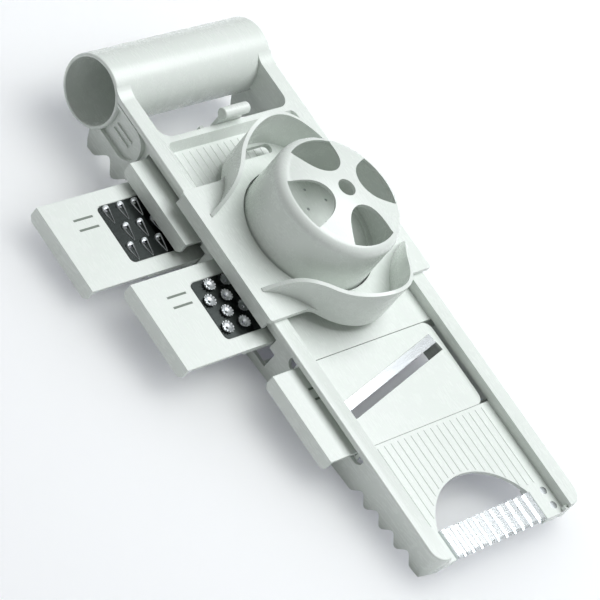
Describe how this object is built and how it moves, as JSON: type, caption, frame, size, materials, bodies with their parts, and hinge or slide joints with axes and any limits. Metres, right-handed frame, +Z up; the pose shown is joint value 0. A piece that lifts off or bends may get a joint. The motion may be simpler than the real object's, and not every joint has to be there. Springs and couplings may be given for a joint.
{
  "type": "mandoline slicer",
  "caption": "Wedge-shaped hand mandoline with a tube handle, ribbed deck, pull-out blade inserts stored below, crinkle blade and a sliding food holder with a domed pusher.",
  "frame": {"origin": "on the table under the middle of the body, between the two side walls", "axes": "+X across the body away from the insert handles, +Y along the body towards the tube handle, +Z up from the table"},
  "size_m": [0.2119, 0.3586, 0.0813],
  "materials": {
    "abs": "glossy moulded ABS, pale green-white",
    "blade_steel": "polished stainless sheet",
    "pin_steel": "drawn stainless wire"
  },
  "bodies": {
    "body": {"left_rail": "abs", "right_rail": "abs", "left_wall": "abs", "right_wall": "abs", "handle_tube": "abs", "cross_bar": "abs", "upper_deck": "abs", "lower_deck": "abs", "front_rack": "abs", "rear_rack": "abs", "crinkle_blade": "blade_steel", "blade_pins": "pin_steel", "catch_pin": "pin_steel"},
    "catch": {"holder_catch": "abs"},
    "slicer_insert": {"slicer_frame": "abs", "slicer_blade": "blade_steel"},
    "fine_insert": {"fine_frame": "abs", "fine_panel": "blade_steel"},
    "coarse_insert": {"coarse_frame": "abs", "coarse_panel": "blade_steel"},
    "rasp_insert": {"rasp_frame": "abs", "rasp_panel": "blade_steel"},
    "holder": {"holder_plate": "abs", "holder_lips": "abs", "rear_guard": "abs", "front_guard": "abs", "well_collar": "abs"},
    "pusher": {"pusher_cap": "abs", "spike_plate": "abs", "food_spikes": "pin_steel"}
  },
  "joints": [
    {"name": "holder_slide", "type": "slide", "parent": "body", "child": "holder", "axis": [0, 0.9972, 0.0746], "range_m": [-0.125, 0.012]},
    {"name": "pusher_lift", "type": "slide", "parent": "holder", "child": "pusher", "axis": [0, -0.0746, 0.9972], "range_m": [0, 0.03]},
    {"name": "catch_flex", "type": "hinge", "parent": "body", "child": "catch", "pos_m": [0, 0.11854, 0.03074], "axis": [1, 0, 0], "range_deg": [-12, 0], "stiffness_Nm_per_rad": 0.08},
    {"name": "slicer_insert_slide", "type": "slide", "parent": "body", "child": "slicer_insert", "axis": [-1, 0, 0], "range_m": [-0.006, 0.08]},
    {"name": "fine_insert_slide", "type": "slide", "parent": "body", "child": "fine_insert", "axis": [-1, 0, 0], "range_m": [0, 0.085]},
    {"name": "coarse_insert_slide", "type": "slide", "parent": "body", "child": "coarse_insert", "axis": [-1, 0, 0], "range_m": [-0.068, 0.02]},
    {"name": "rasp_insert_slide", "type": "slide", "parent": "body", "child": "rasp_insert", "axis": [-1, 0, 0], "range_m": [-0.053, 0.034]}
  ]
}
